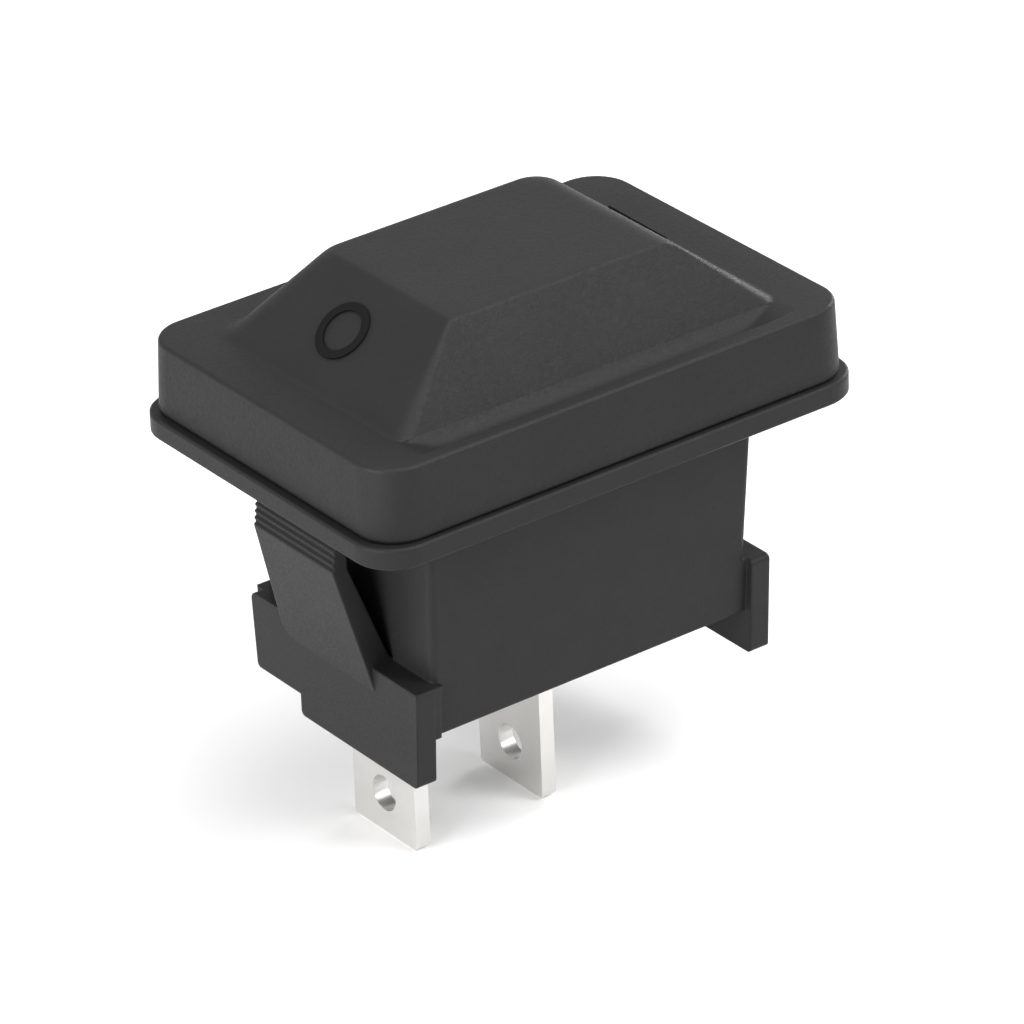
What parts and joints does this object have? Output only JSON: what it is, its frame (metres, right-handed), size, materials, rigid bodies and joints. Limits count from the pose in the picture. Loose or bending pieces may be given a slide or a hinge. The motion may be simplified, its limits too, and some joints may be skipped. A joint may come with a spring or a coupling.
{
  "type": "rocker switch",
  "caption": "Snap-in on-off rocker switch under a black rubber hood with a raised hip form, with blade tabs below.",
  "frame": {"origin": "centre of the flange's underside, which is the face that bears on the panel", "axes": "+Z out of the panel towards the hood, +X towards the end that is marked I, +Y towards the long side where the end plates are cut away"},
  "size_m": [0.0274, 0.0194, 0.0281],
  "materials": {
    "housing_plastic": "black moulded thermoplastic, fine satin texture",
    "hood_rubber": "black rubber, soft matt grain",
    "rocker_plastic": "black moulded plastic",
    "plunger_plastic": "natural white low-friction plastic",
    "spring_steel": "bright drawn wire",
    "terminal_metal": "brass strip with bright tin plating",
    "lever_copper": "bare copper alloy strip",
    "contact_silver": "silver alloy rivet"
  },
  "bodies": {
    "housing": {"housing": "housing_plastic", "rubber_hood": "hood_rubber", "line_terminal": "terminal_metal", "common_terminal": "terminal_metal", "fixed_contact": "contact_silver"},
    "rocker": {"rocker": "rocker_plastic", "plunger_spring": "spring_steel"},
    "plunger": {"plunger": "plunger_plastic"},
    "lever": {"contact_lever": "lever_copper", "moving_contact": "contact_silver"}
  },
  "joints": [
    {"name": "rocker_tilt", "type": "hinge", "parent": "housing", "child": "rocker", "pos_m": [0, 0, -0.0005], "axis": [0, 1, 0], "range_deg": [-7.5, 7.5], "deforming": ["rubber_hood"]},
    {"name": "plunger_slide", "type": "slide", "parent": "rocker", "child": "plunger", "axis": [0, 0, 1], "range_m": [0, 0.0006], "stiffness_N_per_m": 1980, "deforming": ["plunger_spring"]},
    {"name": "lever_tilt", "type": "hinge", "parent": "housing", "child": "lever", "pos_m": [0.0002, 0, -0.00761], "axis": [0, 1, 0], "range_deg": [-9, 9]}
  ],
  "couplings": [
    {"joint": "lever_tilt", "follows": "rocker_tilt", "ratio": -1.2}
  ]
}
